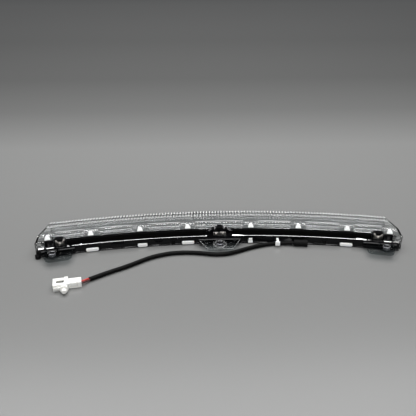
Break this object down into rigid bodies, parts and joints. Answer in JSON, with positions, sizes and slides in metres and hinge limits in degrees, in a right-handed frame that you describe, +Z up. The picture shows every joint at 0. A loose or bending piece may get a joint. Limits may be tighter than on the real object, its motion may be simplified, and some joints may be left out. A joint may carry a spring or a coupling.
{
  "type": "third brake light",
  "caption": "Bowed high-mounted stop lamp with a fluted clear lens, black rear housing, three clear mounting tabs, spring clips and a sleeved lead ending in a white connector.",
  "frame": {"origin": "centre of the lamp's footprint, on the surface that its underside rests on, the free harness left out", "axes": "+X along the lamp, +Y out through the convex lens face towards following traffic, -Y the mounting side, +Z up"},
  "size_m": [0.4031, 0.1272, 0.024],
  "materials": {
    "clear_lens": "polished clear acrylic",
    "clear_optic": "fluted clear acrylic",
    "clear_bracket": "polished clear acrylic",
    "black_gloss": "glossy moulded ABS",
    "foam": "matte closed-cell foam",
    "seal": "matte sealing bead",
    "milky_clip": "smooth natural nylon",
    "carrier_grey": "matte moulded plastic",
    "board_green": "satin solder mask",
    "led_red": "clear red resin",
    "resistor_black": "matte ceramic",
    "jumper_white": "satin flat cable",
    "zinc_steel": "zinc plated",
    "bush_metal": "turned",
    "spring_steel": "oiled spring steel",
    "black_rubber": "satin moulded rubber",
    "sleeve_black": "satin vinyl sleeve",
    "wire_red": "satin vinyl insulation",
    "wire_black": "satin vinyl insulation",
    "nylon_white": "satin natural nylon",
    "tin": "tin plated"
  },
  "bodies": {
    "lamp": {"outer_lens": "clear_lens", "inner_optic": "clear_optic", "rear_housing": "black_gloss", "left_foam_strip": "foam", "right_foam_strip": "foam", "lens_seal": "seal", "upper_lens_clips": "milky_clip", "lower_lens_clips": "milky_clip", "board_carrier": "carrier_grey", "led_board_1": "board_green", "led_board_2": "board_green", "led_board_3": "board_green", "led_board_4": "board_green", "leds": "led_red", "resistors": "resistor_black", "board_jumpers": "jumper_white", "board_screws": "zinc_steel", "lead_wires": "wire_red", "breather_caps": "black_rubber", "left_bracket": "clear_bracket", "centre_bracket": "clear_bracket", "right_bracket": "clear_bracket", "bracket_screws": "zinc_steel", "mount_bushes": "bush_metal", "left_spring_clip": "spring_steel", "centre_spring_clip": "spring_steel", "right_spring_clip": "spring_steel", "wire_grommet": "black_rubber", "harness_clip": "milky_clip", "harness_sleeve": "sleeve_black", "red_wire": "wire_red", "black_wire": "wire_black", "connector_housing": "nylon_white", "connector_terminals": "tin"},
    "retainer": {"terminal_retainer": "nylon_white"},
    "anchor": {"anchor_clip": "nylon_white"}
  },
  "joints": [
    {"name": "retainer_slide", "type": "slide", "parent": "lamp", "child": "retainer", "axis": [0.1771, -0.9842, 0], "range_m": [0, 0.0015]},
    {"name": "anchor_slide", "type": "slide", "parent": "lamp", "child": "anchor", "axis": [-0.9842, -0.1771, 0], "range_m": [0, 0.012]}
  ]
}
